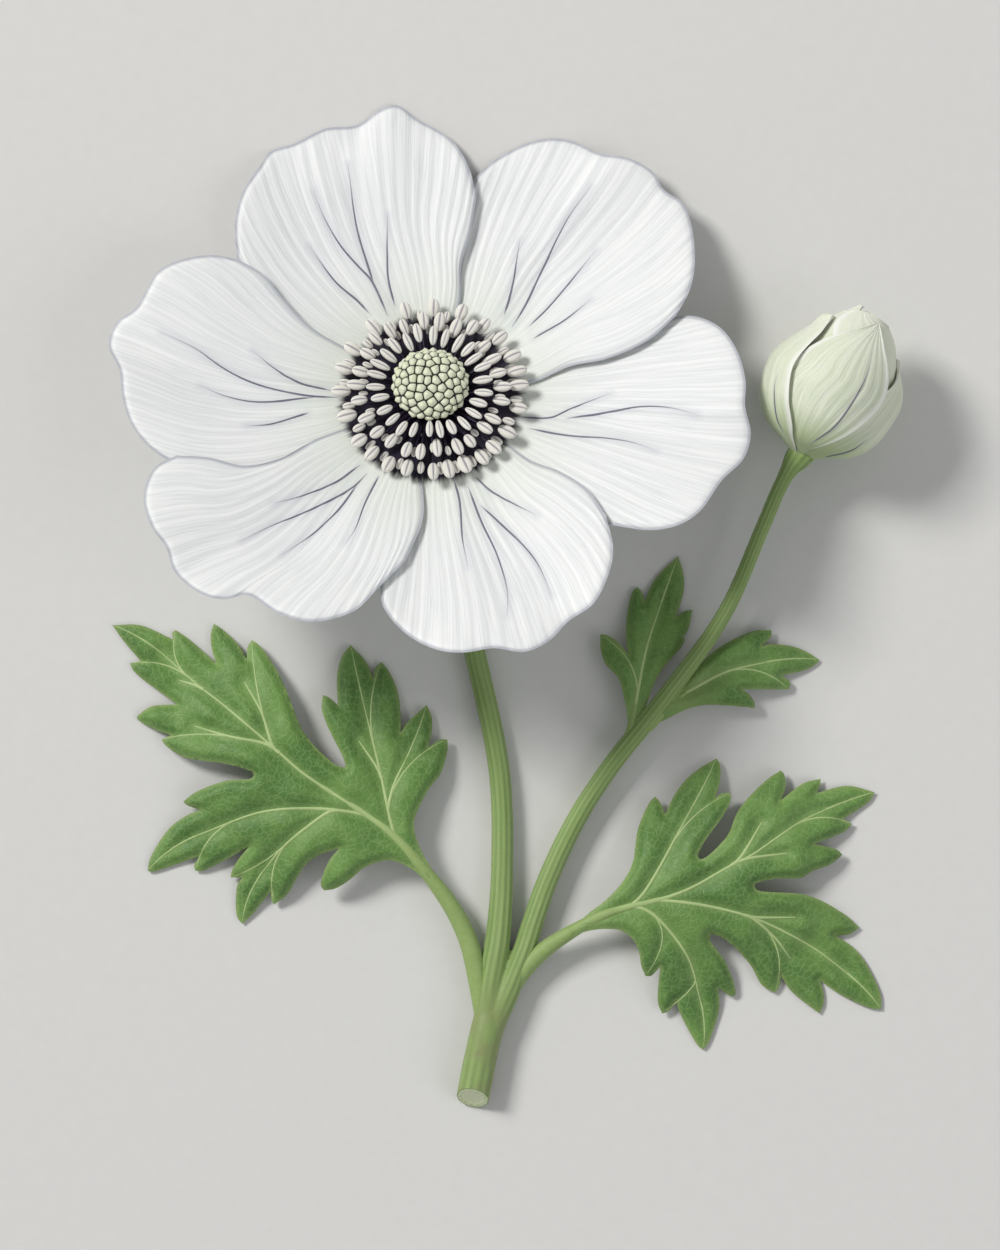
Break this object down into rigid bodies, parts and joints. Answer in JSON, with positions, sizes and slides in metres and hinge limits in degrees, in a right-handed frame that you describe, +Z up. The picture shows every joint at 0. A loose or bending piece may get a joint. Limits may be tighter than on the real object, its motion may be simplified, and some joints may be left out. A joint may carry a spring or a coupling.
{
  "type": "cut anemone flower stem",
  "caption": "Cut garden anemone lying down: open six-petalled bloom with a dark stamen ring, closed bud, lobed leaves.",
  "frame": {"origin": "middle of the flower's footprint, on the surface that it lies on", "axes": "+Y from the cut end towards the bloom, the longest way; +Z up, away from the surface, the shortest way; +X to the bud's side"},
  "size_m": [0.112, 0.1418, 0.0325],
  "materials": {
    "petal": "white living petal with faint cool veins, soft satin",
    "bud_tepal": "greenish white closed petal, fine hairs outside",
    "stamen": "blue-black filament with a pale powdery anther",
    "boss": "pale green packed pistils, slightly waxy",
    "stem": "green stem with fine lengthwise ribs and short hairs",
    "leaf": "matt green leaf with lighter sunken veins"
  },
  "bodies": {
    "root": {"stem": "stem", "petal_top_left": "petal", "petal_top_right": "petal", "petal_right": "petal", "petal_bottom": "petal", "petal_bottom_left": "petal", "petal_left": "petal", "pistil_boss": "boss", "stamen_outer_01": "stamen", "stamen_outer_02": "stamen", "stamen_outer_03": "stamen", "stamen_outer_04": "stamen", "stamen_outer_05": "stamen", "stamen_outer_06": "stamen", "stamen_outer_07": "stamen", "stamen_outer_08": "stamen", "stamen_outer_09": "stamen", "stamen_outer_10": "stamen", "stamen_outer_11": "stamen", "stamen_outer_12": "stamen", "stamen_outer_13": "stamen", "stamen_outer_14": "stamen", "stamen_outer_15": "stamen", "stamen_outer_16": "stamen", "stamen_outer_17": "stamen", "stamen_outer_18": "stamen", "stamen_outer_19": "stamen", "stamen_outer_20": "stamen", "stamen_outer_21": "stamen", "stamen_outer_22": "stamen", "stamen_outer_23": "stamen", "stamen_outer_24": "stamen", "stamen_whorl_middle": "stamen", "stamen_whorl_inner": "stamen", "leaf_left": "leaf", "leaf_right": "leaf", "bract_left": "leaf", "bract_right": "leaf", "tepal_left": "bud_tepal", "tepal_front": "bud_tepal", "tepal_right": "bud_tepal", "tepal_back": "bud_tepal", "tepal_back_right": "bud_tepal", "tepal_back_left": "bud_tepal"}
  },
  "joints": []
}
